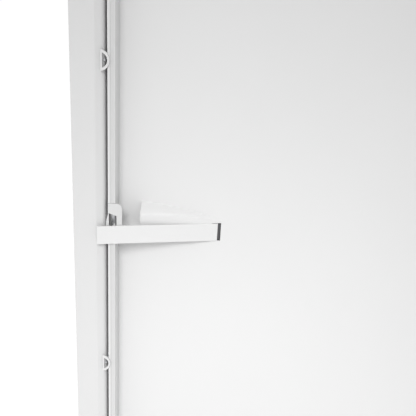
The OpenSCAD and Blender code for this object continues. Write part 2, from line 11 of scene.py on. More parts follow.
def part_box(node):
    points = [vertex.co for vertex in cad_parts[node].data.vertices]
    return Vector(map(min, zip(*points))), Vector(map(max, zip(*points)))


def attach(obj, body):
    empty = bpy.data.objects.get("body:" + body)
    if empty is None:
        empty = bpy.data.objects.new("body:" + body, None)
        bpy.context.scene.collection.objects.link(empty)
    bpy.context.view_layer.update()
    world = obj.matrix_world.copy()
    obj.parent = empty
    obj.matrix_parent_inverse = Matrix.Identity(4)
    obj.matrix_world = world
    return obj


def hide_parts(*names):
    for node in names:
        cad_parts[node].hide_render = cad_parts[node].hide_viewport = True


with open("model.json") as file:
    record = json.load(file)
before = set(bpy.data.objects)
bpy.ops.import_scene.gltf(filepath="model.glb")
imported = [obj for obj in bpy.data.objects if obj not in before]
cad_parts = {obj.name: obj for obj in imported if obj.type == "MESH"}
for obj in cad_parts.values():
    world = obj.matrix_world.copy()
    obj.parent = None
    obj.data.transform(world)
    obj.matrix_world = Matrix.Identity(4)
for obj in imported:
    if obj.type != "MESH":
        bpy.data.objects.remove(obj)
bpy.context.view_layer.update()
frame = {"nodes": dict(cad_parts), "record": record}

bl_info = {
    "name": "Locker Cabinet Looks",
    "version": (1, 0, 0),
    "blender": (4, 5, 0),
    "location": "View3D > Sidebar > Locker",
    "description": "Builds the finished surfaces of a one-door locker around its frame",
    "category": "Object",
}

MM = 0.001

# Places taken from the frame, in metres
BOX_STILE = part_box("left_stile")
BOX_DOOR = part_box("door_panel")
BOX_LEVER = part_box("pull_lever")
BOX_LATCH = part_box("latch_plate")
BOX_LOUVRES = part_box("louvre_blades")
FACE_Y = BOX_STILE[0].y                      # face of the frame
SIDE_X = BOX_STILE[0].x                      # left side of the cabinet
LATCH_Z = (BOX_DOOR[0].z + BOX_DOOR[1].z) / 2
HOOD_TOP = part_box("lever_hood")[1].z
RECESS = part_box("lever_hood")[1].y - FACE_Y  # depth of the recessed panel

SEAM = 0.3 * MM                              # around the latch plate
WINDOW_HALF = 12 * MM                        # half the height of the latch window
SLIT = 0.04 * MM                             # width of the cut beside the hood's open end
VENT_COUNT = 5                               # louvres in a group
VENT_PITCH = 18 * MM
VENT_BLADE = 11 * MM                         # height of one louvre
SIDE_RIVETS = 7                              # rivets in the row on each side
HINGE_HEIGHT = 63 * MM                       # hinge pin with its two heads
HINGE_RIVETS = 36 * MM                       # between the two rivets of a leaf
PAD_RADIUS = 17 * MM
PAD_RIBS = 28
ZINC, CHROME = "zinc_plate", "bright_chrome"


# ---------- settings ----------

def length(name, description, least, most, default):
    return FloatProperty(name=name, description=description, subtype="DISTANCE", unit="LENGTH",
                         min=least, max=most, default=default)


def paint_colour(name, description, grey):
    return FloatVectorProperty(name=name, description=description, subtype="COLOR", size=3,
                               min=0, max=1, default=(grey, grey, grey))


class LockerFinish(bpy.types.PropertyGroup):
    """Colours and gloss of the finishes"""
    body_colour: paint_colour("Body paint", "Powder coat of the cabinet and frame", 0.655)
    door_colour: paint_colour("Door paint", "Powder coat of the door", 0.71)
    lever_colour: paint_colour("Lever paint", "Powder coat of the pull lever", 0.72)
    paint_roughness: FloatProperty(
        name="Paint roughness", description="Roughness of the powder coat",
        subtype="FACTOR", min=0.1, max=0.9, default=0.42)
    peel: FloatProperty(
        name="Orange peel", description="Height of the powder coat's fine texture",
        subtype="DISTANCE", unit="LENGTH", min=0, max=0.0002, precision=6, default=0.000022)


class LockerSizes(bpy.types.PropertyGroup):
    """Sizes of the visible bends and details"""
    sheet: length("Sheet", "Thickness of the door and body sheets", 0.0006, 0.002, 1.0 * MM)
    frame_sheet: length("Frame sheet", "Thickness of the stiles and rails", 0.0008, 0.002, 1.2 * MM)
    stile_face: length("Stile face", "Width of the flat face of a stile", 0.015, 0.04, 24.0 * MM)
    bevel_width: length("Bevel", "Width of the bevelled return beside the stile's face",
                        0.004, 0.012, 8.2 * MM)
    rim_width: length("Rim", "Width of the raised rim of the door", 0.006, 0.02, 7.6 * MM)
    recess: length("Recess", "Depth of the door panel behind its rim", 0.01, 0.03, 23.3 * MM)
    bend_radius: length("Bend radius", "Outer radius of the folded edges", 0.0004, 0.003, 0.9 * MM)
    hood_height: length("Hood", "How far the pressed hood stands out of the panel",
                        0.004, 0.02, 15.2 * MM)
    spring_turns: IntProperty(
        name="Spring turns", description="Turns of the lever's return spring",
        min=2, max=8, default=4)


def settings():
    return bpy.context.scene.locker_finish, bpy.context.scene.locker_sizes


# ---------- meshes ----------

def new_object(name, mesh, material=None):
    obj = bpy.data.objects.new(name, mesh)
    bpy.context.scene.collection.objects.link(obj)
    if material:
        obj.data.materials.clear()
        obj.data.materials.append(material)
    return obj


def mesh_from(name, verts, faces):
    mesh = bpy.data.meshes.new(name)
    mesh.from_pydata([tuple(v) for v in verts], [], faces)
    mesh.validate()
    return mesh


def smooth_shade(mesh, angle=40.0):
    for poly in mesh.polygons:
        poly.use_smooth = True
    mesh.set_sharp_from_angle(angle=math.radians(angle))


def flatten_faces(obj, angle=40.0):
    """Smooth bends beside faces that stay flat, by weighting the normals by area."""
    smooth_shade(obj.data, angle)
    weigh = obj.modifiers.new("flat faces", "WEIGHTED_NORMAL")
    weigh.mode = "FACE_AREA"
    weigh.weight = 100
    weigh.keep_sharp = True
    return apply_modifiers(obj)


def fix_normals(mesh):
    bm = bmesh.new()
    bm.from_mesh(mesh)
    bmesh.ops.remove_doubles(bm, verts=bm.verts, dist=1e-7)
    bmesh.ops.recalc_face_normals(bm, faces=bm.faces)
    bm.to_mesh(mesh)
    bm.free()


def apply_modifiers(obj):
    """Replaces the object's mesh by its evaluated mesh and drops its modifiers."""
    bpy.context.view_layer.update()
    graph = bpy.context.evaluated_depsgraph_get()
    mesh = bpy.data.meshes.new_from_object(obj.evaluated_get(graph))
    obj.modifiers.clear()
    obj.data = mesh
    return obj


def finish_piece(obj, body, slot, *nodes, angle=40.0):
    """Shades a finished piece, ties it to its body and hides its CAD nodes; the finish slot is not used."""
    if not obj.data.has_custom_normals:
        smooth_shade(obj.data, angle)
    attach(obj, body)
    if nodes:
        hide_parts(*nodes)


def round_edges(obj, radius, segments, angle):
    """Rounds the edges that are sharper than the angle."""
    bevel = obj.modifiers.new("edges", "BEVEL")
    bevel.width = radius
    bevel.segments = segments
    bevel.limit_method = "ANGLE"
    bevel.angle_limit = math.radians(angle)
    apply_modifiers(obj)


def softened(name, node, material, radius):
    """A copy of a CAD node with merged faces and rounded edges."""
    mesh = frame["nodes"][node].data.copy()
    mesh.materials.clear()
    bm = bmesh.new()
    bm.from_mesh(mesh)
    bmesh.ops.remove_doubles(bm, verts=bm.verts, dist=1e-6)
    bmesh.ops.dissolve_limit(bm, angle_limit=math.radians(0.6), verts=bm.verts, edges=bm.edges,
                             delimit={"NORMAL"})
    bm.to_mesh(mesh)
    bm.free()
    obj = new_object(name, mesh, material)
    round_edges(obj, radius, 3, 35)
    return flatten_faces(obj)


def rounded_path(points, radii, steps):
    """Points of an open path whose inner corners are turned into arcs of the given radii."""
    path = [Vector(points[0])]
    for i in range(1, len(points) - 1):
        a, b, c = Vector(points[i - 1]), Vector(points[i]), Vector(points[i + 1])
        u, v = (a - b).normalized(), (c - b).normalized()
        half = u.angle(v) / 2
        reach = min(radii[i] / math.tan(half), (a - b).length * 0.49, (c - b).length * 0.49)
        r = reach * math.tan(half)
        centre = b + (u + v).normalized() * (r / math.sin(half))
        start, end = b + u * reach - centre, b + v * reach - centre
        turn = start.angle_signed(end)
        for k in range(steps + 1):
            spin = Matrix.Rotation(-turn * k / steps, 2)
            path.append(centre + spin @ start)
    path.append(Vector(points[-1]))
    return path


def sheet_outline(path, thickness):
    """Closed outline of a folded sheet; the path is its face and the metal lies to its right."""
    back = []
    for i, p in enumerate(path):
        before = path[i] - path[i - 1] if i else path[1] - path[0]
        after = path[i + 1] - path[i] if i < len(path) - 1 else before
        d = (before.normalized() + after.normalized()).normalized()
        cosine = max(0.3, d.dot(before.normalized()))
        back.append(p + Vector((d.y, -d.x)) * (thickness / cosine))
    return list(path) + back[::-1]


def extrude_outline(name, outline, place, low, high):
    """Extrudes a closed outline from low to high; place maps (u, v, w) to a point."""
    n = len(outline)
    verts = [place(p[0], p[1], w) for w in (low, high) for p in outline]
    faces = [(i, (i + 1) % n, n + (i + 1) % n, n + i) for i in range(n)]
    half = n // 2
    for base in (0, n):
        for i in range(half - 1):
            faces.append((base + i, base + i + 1, base + n - 2 - i, base + n - 1 - i))
    mesh = mesh_from(name, verts, faces)
    fix_normals(mesh)
    return mesh


def lathe(name, profile, segments):
    """Turns (radius, height) points about Z; the first and last points lie on the axis."""
    verts = [Vector((0, 0, profile[0][1]))]
    for r, z in profile[1:-1]:
        for k in range(segments):
            a = 2 * math.pi * k / segments
            verts.append(Vector((r * math.cos(a), r * math.sin(a), z)))
    verts.append(Vector((0, 0, profile[-1][1])))
    rings = len(profile) - 2
    faces = []
    for k in range(segments):
        n = (k + 1) % segments
        faces.append((0, 1 + n, 1 + k))
        for r in range(rings - 1):
            a, b = 1 + r * segments, 1 + (r + 1) * segments
            faces.append((a + k, a + n, b + n, b + k))
        last = 1 + (rings - 1) * segments
        faces.append((last + k, last + n, len(verts) - 1))
    mesh = mesh_from(name, verts, faces)
    fix_normals(mesh)
    return mesh


def arc_points(cx, cy, r, start, end, steps):
    return [(cx + r * math.cos(math.radians(start + (end - start) * k / steps)),
             cy + r * math.sin(math.radians(start + (end - start) * k / steps)))
            for k in range(steps + 1)]


def join_meshes(name, parts, material):
    """One object from (mesh, matrix) pairs."""
    bm = bmesh.new()
    for mesh, matrix in parts:
        copy = mesh.copy()
        copy.transform(matrix)
        bm.from_mesh(copy)
        bpy.data.meshes.remove(copy)
    joined = bpy.data.meshes.new(name)
    bm.to_mesh(joined)
    bm.free()
    return new_object(name, joined, material)


# ---------- geometry nodes ----------

def group_tree(name, kind, inputs, outputs):
    """A node group with its sockets; inputs are (label, type, default or None)."""
    tree = bpy.data.node_groups.new(name, kind)
    for label, socket_type, default in inputs:
        socket = tree.interface.new_socket(label, in_out="INPUT", socket_type=socket_type)
        if default is not None:
            socket.default_value = default
    for label, socket_type in outputs:
        tree.interface.new_socket(label, in_out="OUTPUT", socket_type=socket_type)
    return tree, tree.nodes.new("NodeGroupInput"), tree.nodes.new("NodeGroupOutput")


def node_tree(name, inputs):
    mesh = ("Geometry", "NodeSocketGeometry")
    return group_tree(name, "GeometryNodeTree", [(*mesh, None), *inputs], [mesh])


def finish_tree(tree, inp, out, geometry):
    """Ends a tree in Realize Instances and Set Material."""
    realize = tree.nodes.new("GeometryNodeRealizeInstances")
    paint = tree.nodes.new("GeometryNodeSetMaterial")
    tree.links.new(geometry, realize.inputs["Geometry"])
    tree.links.new(realize.outputs["Geometry"], paint.inputs["Geometry"])
    tree.links.new(inp.outputs["Finish"], paint.inputs["Material"])
    tree.links.new(paint.outputs["Geometry"], out.inputs["Geometry"])


def repeat_tree():
    """Repeats the incoming piece over rows and columns."""
    tree, inp, out = node_tree("Rows and columns", [
        ("Columns", "NodeSocketInt", 1), ("Column Step", "NodeSocketVector", None),
        ("Rows", "NodeSocketInt", 1), ("Row Step", "NodeSocketVector", None),
        ("Start", "NodeSocketVector", None), ("Finish", "NodeSocketMaterial", None)])
    new, link = tree.nodes.new, tree.links.new
    columns, rows = new("GeometryNodeMeshLine"), new("GeometryNodeMeshLine")
    columns.mode = rows.mode = "OFFSET"
    for line, count, step in ((columns, "Columns", "Column Step"), (rows, "Rows", "Row Step")):
        link(inp.outputs[count], line.inputs["Count"])
        link(inp.outputs[step], line.inputs["Offset"])
    link(inp.outputs["Start"], columns.inputs["Start Location"])
    grid, scatter = new("GeometryNodeInstanceOnPoints"), new("GeometryNodeInstanceOnPoints")
    points = new("GeometryNodeRealizeInstances")
    link(columns.outputs["Mesh"], grid.inputs["Points"])
    link(rows.outputs["Mesh"], grid.inputs["Instance"])
    link(grid.outputs["Instances"], points.inputs["Geometry"])
    link(points.outputs["Geometry"], scatter.inputs["Points"])
    link(inp.outputs["Geometry"], scatter.inputs["Instance"])
    finish_tree(tree, inp, out, scatter.outputs["Instances"])
    return tree


def ring_tree():
    """Repeats the incoming piece around the Z axis."""
    tree, inp, out = node_tree("Around a ring", [
        ("Count", "NodeSocketInt", 12), ("Radius", "NodeSocketFloat", 0.01),
        ("Finish", "NodeSocketMaterial", None)])
    new, link = tree.nodes.new, tree.links.new
    circle, scatter = new("GeometryNodeMeshCircle"), new("GeometryNodeInstanceOnPoints")
    place, align = new("GeometryNodeInputPosition"), new("FunctionNodeAlignRotationToVector")
    align.axis = "X"
    link(inp.outputs["Count"], circle.inputs["Vertices"])
    link(inp.outputs["Radius"], circle.inputs["Radius"])
    link(circle.outputs["Mesh"], scatter.inputs["Points"])
    link(inp.outputs["Geometry"], scatter.inputs["Instance"])
    link(place.outputs["Position"], align.inputs["Vector"])
    link(align.outputs["Rotation"], scatter.inputs["Rotation"])
    finish_tree(tree, inp, out, scatter.outputs["Instances"])
    return tree


def coil_tree():
    """A wire wound round the Z axis."""
    tree, inp, out = node_tree("Wire coil", [
        ("Turns", "NodeSocketFloat", 4.0), ("Radius", "NodeSocketFloat", 0.004),
        ("Wire", "NodeSocketFloat", 0.0006), ("Height", "NodeSocketFloat", 0.005),
        ("Finish", "NodeSocketMaterial", None)])
    new, link = tree.nodes.new, tree.links.new
    spiral, wire, sweep = (new("GeometryNodeCurveSpiral"), new("GeometryNodeCurvePrimitiveCircle"),
                           new("GeometryNodeCurveToMesh"))
    spiral.inputs["Resolution"].default_value = 28
    wire.inputs["Resolution"].default_value = 10
    sweep.inputs["Fill Caps"].default_value = True
    for given, node, wanted in (("Turns", spiral, "Rotations"), ("Radius", spiral, "Start Radius"),
                                ("Radius", spiral, "End Radius"), ("Height", spiral, "Height"),
                                ("Wire", wire, "Radius")):
        link(inp.outputs[given], node.inputs[wanted])
    link(spiral.outputs["Curve"], sweep.inputs["Curve"])
    link(wire.outputs["Curve"], sweep.inputs["Profile Curve"])
    finish_tree(tree, inp, out, sweep.outputs["Mesh"])
    return tree


def grow(name, mesh, tree, **values):
    """Runs a geometry nodes tree on a mesh and returns the plain mesh that it makes."""
    obj = new_object(name, mesh)
    mod = obj.modifiers.new(tree.name, "NODES")
    mod.node_group = tree
    wanted = {key.replace("_", " "): value for key, value in values.items()}
    for item in tree.interface.items_tree:
        if item.item_type == "SOCKET" and item.in_out == "INPUT" and item.name in wanted:
            mod[item.identifier] = wanted[item.name]
    apply_modifiers(obj)
    grown = obj.data
    bpy.data.objects.remove(obj)
    return grown


# ---------- finishes ----------

def shader_group(name, inputs, outputs):
    return group_tree(name, "ShaderNodeTree", inputs, outputs)


def feed(tree, socket, value):
    """Links the value if it is a socket, and otherwise sets it."""
    if isinstance(value, bpy.types.NodeSocket):
        tree.links.new(value, socket)
    elif value is not None:
        socket.default_value = value


def deliver(tree, out, **sockets):
    """Links sockets to the outputs of a group, and returns its tree."""
    for name, socket in sockets.items():
        tree.links.new(socket, out.inputs[name])
    return tree


def noise(tree, vector, scale, detail=2.0, roughness=0.5):
    node = tree.nodes.new("ShaderNodeTexNoise")
    for label, value in (("Vector", vector), ("Scale", scale), ("Detail", detail),
                         ("Roughness", roughness)):
        feed(tree, node.inputs[label], value)
    return node.outputs["Fac"]


def math_node(tree, operation, a, b=None, c=None, clamp=False):
    node = tree.nodes.new("ShaderNodeMath")
    node.operation = operation
    node.use_clamp = clamp
    for socket, value in zip(node.inputs, (a, b, c)):
        feed(tree, socket, value)
    return node.outputs[0]


def vector_node(tree, operation, vector, label, factor):
    node = tree.nodes.new("ShaderNodeVectorMath")
    node.operation = operation
    tree.links.new(vector, node.inputs[0])
    tree.links.new(factor, node.inputs[label])
    return node.outputs["Vector"]


def map_range(tree, value, from_low, from_high, to_low, to_high):
    node = tree.nodes.new("ShaderNodeMapRange")
    for label, number in (("Value", value), ("From Min", from_low), ("From Max", from_high),
                          ("To Min", to_low), ("To Max", to_high)):
        feed(tree, node.inputs[label], number)
    return node.outputs["Result"]


def mix_colour(tree, factor, a, b, blend="MIX"):
    node = tree.nodes.new("ShaderNodeMix")
    node.data_type = "RGBA"
    node.blend_type = blend
    for socket, value in ((node.inputs["Factor"], factor), (node.inputs[6], a), (node.inputs[7], b)):
        feed(tree, socket, value)
    return node.outputs[2]


def grey_colour(tree, tone):
    """A colour with the same value in its three channels."""
    shade = tree.nodes.new("ShaderNodeCombineColor")
    for channel in shade.inputs:
        if channel.type == "VALUE":
            tree.links.new(tone, channel)
    return shade.outputs["Color"]


GROUPS = {}
FINISHES = {}
COAT_OUTPUTS = (("Colour", "NodeSocketColor"), ("Roughness", "NodeSocketFloat"),
                ("Height", "NodeSocketFloat"))


def powder_group():
    """Orange peel, fine speckle and a faint cloudiness of a powder coat."""
    tree, inp, out = shader_group("Powder coat", [
        ("Vector", "NodeSocketVector", None), ("Colour", "NodeSocketColor", (0.8, 0.8, 0.8, 1)),
        ("Roughness", "NodeSocketFloat", 0.4), ("Peel Scale", "NodeSocketFloat", 1.0),
        ("Cloud", "NodeSocketFloat", 0.02)],
        COAT_OUTPUTS)
    vector = vector_node(tree, "SCALE", inp.outputs["Vector"], "Scale", inp.outputs["Peel Scale"])
    peel = noise(tree, vector, 420.0, 1.5, 0.4)
    grain = noise(tree, vector, 1900.0, 2.0, 0.6)
    cloud = noise(tree, vector, 9.0, 3.0, 0.5)
    height = math_node(tree, "MULTIPLY_ADD", grain, 0.22, peel)
    tone = math_node(tree, "SUBTRACT", cloud, 0.5)
    tone = math_node(tree, "MULTIPLY_ADD", tone, inp.outputs["Cloud"], 1.0)
    speck = map_range(tree, grain, 0.30, 0.42, 0.985, 1.0)
    tone = math_node(tree, "MULTIPLY", tone, speck)
    colour = mix_colour(tree, 1.0, inp.outputs["Colour"], grey_colour(tree, tone), "MULTIPLY")
    gloss = math_node(tree, "SUBTRACT", cloud, 0.5)
    gloss = math_node(tree, "MULTIPLY_ADD", gloss, 0.10, inp.outputs["Roughness"])
    return deliver(tree, out, Colour=colour, Roughness=gloss, Height=height)


def wear_group():
    """Rubbed edges and settled dust: a mask that is 1 where the coat is worn."""
    tree, inp, out = shader_group("Edge wear", [
        ("Vector", "NodeSocketVector", None), ("Amount", "NodeSocketFloat", 0.3),
        ("Patch Scale", "NodeSocketFloat", 90.0)],
        [("Edge", "NodeSocketFloat"), ("Dust", "NodeSocketFloat")])
    geometry = tree.nodes.new("ShaderNodeNewGeometry")
    ragged = noise(tree, inp.outputs["Vector"], inp.outputs["Patch Scale"], 4.0)
    edge = map_range(tree, geometry.outputs["Pointiness"], 0.54, 0.66, 0.0, 1.0)
    broken = map_range(tree, ragged, 0.42, 0.62, 0.0, 1.0)
    edge = math_node(tree, "MULTIPLY", edge, broken)
    edge = math_node(tree, "MULTIPLY", edge, inp.outputs["Amount"], clamp=True)
    split = tree.nodes.new("ShaderNodeSeparateXYZ")
    tree.links.new(geometry.outputs["Normal"], split.inputs["Vector"])
    up = map_range(tree, split.outputs["Z"], 0.6, 1.0, 0.0, 1.0)
    dust = math_node(tree, "MULTIPLY", up, ragged)
    return deliver(tree, out, Edge=edge, Dust=dust)


def brushed_group():
    """Fine drawn lines and blotches of plated metal."""
    tree, inp, out = shader_group("Drawn metal", [
        ("Vector", "NodeSocketVector", None), ("Colour", "NodeSocketColor", (0.7, 0.7, 0.7, 1)),
        ("Roughness", "NodeSocketFloat", 0.3), ("Stretch", "NodeSocketVector", (1.0, 1.0, 0.06))],
        COAT_OUTPUTS)
    drawn = vector_node(tree, "MULTIPLY", inp.outputs["Vector"], 1, inp.outputs["Stretch"])
    lines = noise(tree, drawn, 2400.0, 3.0, 0.65)
    blotch = noise(tree, inp.outputs["Vector"], 130.0, 3.0, 0.6)
    tone = map_range(tree, blotch, 0.3, 0.7, 0.88, 1.0)
    colour = mix_colour(tree, 1.0, inp.outputs["Colour"], grey_colour(tree, tone), "MULTIPLY")
    gloss = math_node(tree, "SUBTRACT", lines, 0.5)
    gloss = math_node(tree, "MULTIPLY_ADD", gloss, 0.22, inp.outputs["Roughness"])
    return deliver(tree, out, Colour=colour, Roughness=gloss, Height=lines)


def place_group(tree, name, place, **values):
    """A shader group's node, fed with the place and with the values given by name."""
    if name not in GROUPS:
        GROUPS[name] = {"Powder coat": powder_group, "Edge wear": wear_group,
                        "Drawn metal": brushed_group}[name]()
    node = tree.nodes.new("ShaderNodeGroup")
    node.node_tree = GROUPS[name]
    for label, value in {"Vector": place, **values}.items():
        feed(tree, node.inputs[label], value)
    return node


def base_material(name):
    mat = bpy.data.materials.new(name)
    mat.use_nodes = True
    tree = mat.node_tree
    return mat, tree, tree.nodes["Principled BSDF"], tree.nodes.new("ShaderNodeTexCoord").outputs["Object"]


def add_bump(tree, bsdf, height, distance, strength=1.0):
    bump = tree.nodes.new("ShaderNodeBump")
    bump.inputs["Strength"].default_value = strength
    bump.inputs["Distance"].default_value = distance
    tree.links.new(height, bump.inputs["Height"])
    tree.links.new(bump.outputs["Normal"], bsdf.inputs["Normal"])


def paint_finish(name, colour, roughness, peel, wear=0.25):
    """White powder coat over steel, a little rubbed on its edges, with settled dust and painted shade that
    greys the rim, its corner, the latch plate and the eyes.
    """
    mat, tree, bsdf, place = base_material(name)
    coat = place_group(tree, "Powder coat", place, Colour=(*colour, 1), Roughness=roughness)
    edges = place_group(tree, "Edge wear", place, Amount=wear)
    rubbed = mix_colour(tree, edges.outputs["Edge"], coat.outputs["Colour"], (0.62, 0.62, 0.62, 1))
    dust_and_shade = math_node(tree, "MULTIPLY", edges.outputs["Dust"], 0.16)
    dust_and_shade = mix_colour(tree, dust_and_shade, rubbed, (0.55, 0.54, 0.52, 1))
    # painted shade: a point attribute greys the paint towards 0.36 on the rim's face, the rim's foot in the
    # panel's corner, the latch plate and the eyes
    painted_shade = tree.nodes.new("ShaderNodeAttribute")
    painted_shade.attribute_name = "painted_shade"
    grey = math_node(tree, "MULTIPLY", painted_shade.outputs["Fac"], 0.32)
    dust_and_shade = mix_colour(tree, grey, dust_and_shade, (0.36, 0.36, 0.36, 1))
    tree.links.new(dust_and_shade, bsdf.inputs["Base Color"])
    rough = math_node(tree, "MULTIPLY_ADD", edges.outputs["Dust"], 0.25, coat.outputs["Roughness"])
    tree.links.new(rough, bsdf.inputs["Roughness"])
    bsdf.inputs["Specular IOR Level"].default_value = 0.42
    add_bump(tree, bsdf, coat.outputs["Height"], peel)
    return mat


def metal_finish(name, colour, roughness, stretch, grain=2e-6):
    """Plated or bare metal with a drawn grain."""
    mat, tree, bsdf, place = base_material(name)
    drawn = place_group(tree, "Drawn metal", place, Colour=(*colour, 1), Roughness=roughness,
                        Stretch=stretch)
    edges = place_group(tree, "Edge wear", place, Amount=0.6)
    bright = mix_colour(tree, edges.outputs["Edge"], drawn.outputs["Colour"], (0.86, 0.86, 0.87, 1))
    tree.links.new(bright, bsdf.inputs["Base Color"])
    tree.links.new(drawn.outputs["Roughness"], bsdf.inputs["Roughness"])
    bsdf.inputs["Metallic"].default_value = 1.0
    add_bump(tree, bsdf, drawn.outputs["Height"], grain)
    return mat


def moulded_finish(name, colour, roughness, grain_scale, depth):
    """Matt moulded rubber or nylon with a spark-eroded grain."""
    mat, tree, bsdf, place = base_material(name)
    edges = place_group(tree, "Edge wear", place, Amount=0.5)
    grain = noise(tree, place, grain_scale, 3.0, 0.6)
    dusted, worn = [(*(c * gain + lift for c in colour), 1) for gain, lift in ((1.8, 0.02), (2.2, 0.03))]
    tone = mix_colour(tree, edges.outputs["Dust"], (*colour, 1), dusted)
    tone = mix_colour(tree, edges.outputs["Edge"], tone, worn)
    tree.links.new(tone, bsdf.inputs["Base Color"])
    rough = map_range(tree, grain, 0.3, 0.7, roughness - 0.08, roughness + 0.08)
    tree.links.new(rough, bsdf.inputs["Roughness"])
    add_bump(tree, bsdf, grain, depth)
    return mat


def floor_finish():
    """Plain pale floor with a faint mottling."""
    mat, tree, bsdf, place = base_material("pale_floor")
    mottle = noise(tree, place, 6.0, 4.0, 0.55)
    tone = map_range(tree, mottle, 0.3, 0.7, 0.0, 1.0)
    colour = mix_colour(tree, tone, (0.80, 0.80, 0.80, 1), (0.83, 0.83, 0.83, 1))
    tree.links.new(colour, bsdf.inputs["Base Color"])
    bsdf.inputs["Roughness"].default_value = 0.7
    bsdf.inputs["Emission Color"].default_value = (1.0, 1.0, 1.0, 1)
    bsdf.inputs["Emission Strength"].default_value = 0.35
    return mat


def finish(slot):
    """The material of a finish slot, made when first asked for."""
    if slot not in FINISHES:
        look, _ = settings()
        rough, peel = look.paint_roughness, look.peel
        made = {
            "body_paint": lambda: paint_finish(slot, look.body_colour, rough, peel),
            "door_paint": lambda: paint_finish(slot, look.door_colour, rough, peel),
            "lever_paint": lambda: paint_finish(slot, look.lever_colour, rough - 0.04, peel * 0.8),
            ZINC: lambda: metal_finish(slot, (0.66, 0.67, 0.69), 0.34, (1.0, 1.0, 0.08)),
            CHROME: lambda: metal_finish(slot, (0.80, 0.81, 0.82), 0.14, (0.06, 1.0, 1.0), 8e-7),
            "black_rubber": lambda: moulded_finish(slot, (0.03, 0.03, 0.03), 0.7, 1400.0, 2e-5),
            "black_nylon": lambda: moulded_finish(slot, (0.10, 0.10, 0.105), 0.5, 2200.0, 8e-6),
        }
        FINISHES[slot] = made[slot]()
    return FINISHES[slot]


# ---------- folded and pressed sheets ----------

def stile_mesh(side):
    """A stile as one folded sheet; side is 1 for the left stile and -1 for the right."""
    _, size = settings()
    low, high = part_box("left_stile")
    face, bevel, t = size.stile_face, size.bevel_width, size.frame_sheet
    depth, reach = high.y - low.y, high.x - low.x
    edge = face + bevel
    corners = [(0, 0), (face, 0), (edge - 1.8 * MM, 2.6 * MM), (edge - 0.3 * MM, 4.4 * MM),
               (edge, 7 * MM), (edge, depth - t), (reach, depth - t)]
    path = rounded_path(corners, [0, 1.6 * MM, 5 * MM, 4 * MM, 6 * MM, 1.4 * MM, 0], steps=6)
    outline = sheet_outline(path, t)
    return extrude_outline("stile", outline,
                           lambda u, v, w: (side * (SIDE_X + u), FACE_Y + v, w), low.z, high.z)


class LOCKER_OT_stiles(bpy.types.Operator):
    """Builds the two stiles with their bevelled returns and door stops"""
    bl_idname = "locker.stiles"
    bl_label = "Stiles"

    def execute(self, context):
        for side, node in ((1, "left_stile"), (-1, "right_stile")):
            obj = new_object(node + "_folded", stile_mesh(side), finish("body_paint"))
            round_edges(obj, 0.35 * MM, 2, 60)
            flatten_faces(obj, 30)
            finish_piece(obj, "cabinet", "body_paint", node)
        return {"FINISHED"}


def spread(low, high, step):
    """Evenly spaced lines from low to high, at most one step apart."""
    count = max(1, math.ceil((high - low) / step - 1e-9))
    return [low + (high - low) * k / count for k in range(count + 1)]


def door_lines():
    """Grid lines of the door panel: X lines, Z lines, and the rectangles left open."""
    _, size = settings()
    low, high = BOX_DOOR
    inset = size.rim_width + 1.6 * MM
    hood_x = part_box("lever_hood")[0].x + 1 * MM
    lever_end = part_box("lever_hub")[0].x + 0.5 * MM
    slot = (lever_end - 1.5 * MM, lever_end + 8.6 * MM,
            BOX_LEVER[0].z - 0.2 * MM, BOX_LEVER[1].z + 0.6 * MM)
    ends = slot[1] + 12 * MM             # fine lines reach a little beyond the slot
    fine, coarse = 1.5 * MM, 14 * MM
    xs = {low.x + inset, high.x - inset, hood_x - SLIT}
    for start, end, step in ((hood_x, slot[0], fine), (slot[0], slot[1], fine), (slot[1], ends, fine),
                             (low.x + inset, hood_x - SLIT, 6 * MM), (ends, high.x - inset, coarse)):
        xs.update(spread(start, end, step))
    foot, top = BOX_LEVER[0].z - 18 * MM, LATCH_Z + 34 * MM
    zs = {BOX_LATCH[0].z - SEAM, BOX_LATCH[1].z + SEAM, LATCH_Z - WINDOW_HALF, LATCH_Z + WINDOW_HALF}
    for start, end, step in ((low.z + inset, foot, coarse), (foot, slot[2], 3 * MM),
                             (slot[2], slot[3], fine), (slot[3], top, fine),
                             (top, high.z - inset, coarse)):
        zs.update(spread(start, end, step))
    vents = vent_slots()
    for x0, x1, z0, z1 in vents:
        xs.update((x0, x1))
        zs.update((z0, z1))
    return hood_x, tidy_lines(xs), tidy_lines(zs), [slot] + vents


def tidy_lines(values, least=0.03 * MM):
    lines = []
    for v in sorted(values):
        if not lines or v - lines[-1] > least:
            lines.append(v)
    return lines


def vent_starts():
    """Height of the lowest louvre in each group."""
    low, high = BOX_LOUVRES
    return [low.z, high.z - VENT_PITCH * (VENT_COUNT - 1) - VENT_BLADE]


def vent_slots():
    low, high = BOX_LOUVRES
    return [(low.x + 3 * MM, high.x - 3 * MM, z + VENT_PITCH * k + 1 * MM, z + VENT_PITCH * k + 8 * MM)
            for z in vent_starts() for k in range(VENT_COUNT)]


def hood_lift(x, z, hood_x, end_x, height):
    """How far the pressed hood stands out of the panel at a point."""
    if x < hood_x - 0.01 * MM or x > end_x:
        return 0.0
    t = (x - hood_x) / (end_x - hood_x)
    middle = (BOX_LEVER[0].z + BOX_LEVER[1].z) / 2
    upper = HOOD_TOP - 16.3 * MM * t ** 1.6
    ridge = BOX_LEVER[1].z + (upper - BOX_LEVER[1].z) * (0.50 + 0.15 * t)
    lower = BOX_LEVER[0].z + 1 * MM
    crown = height * (1 - t) ** 0.9
    if t < 0.03:
        crown -= 0.7 * MM * (1 - t / 0.03) ** 2
    if z >= upper or z <= lower:
        return 0.0
    if z > ridge:
        return crown * (1 - ((z - ridge) / (upper - ridge)) ** 1.35)
    if z > middle:
        return crown * (1 - 0.10 * (ridge - z) / (ridge - middle))
    return 0.90 * crown * (1 - ((middle - z) / (middle - lower)) ** 3)


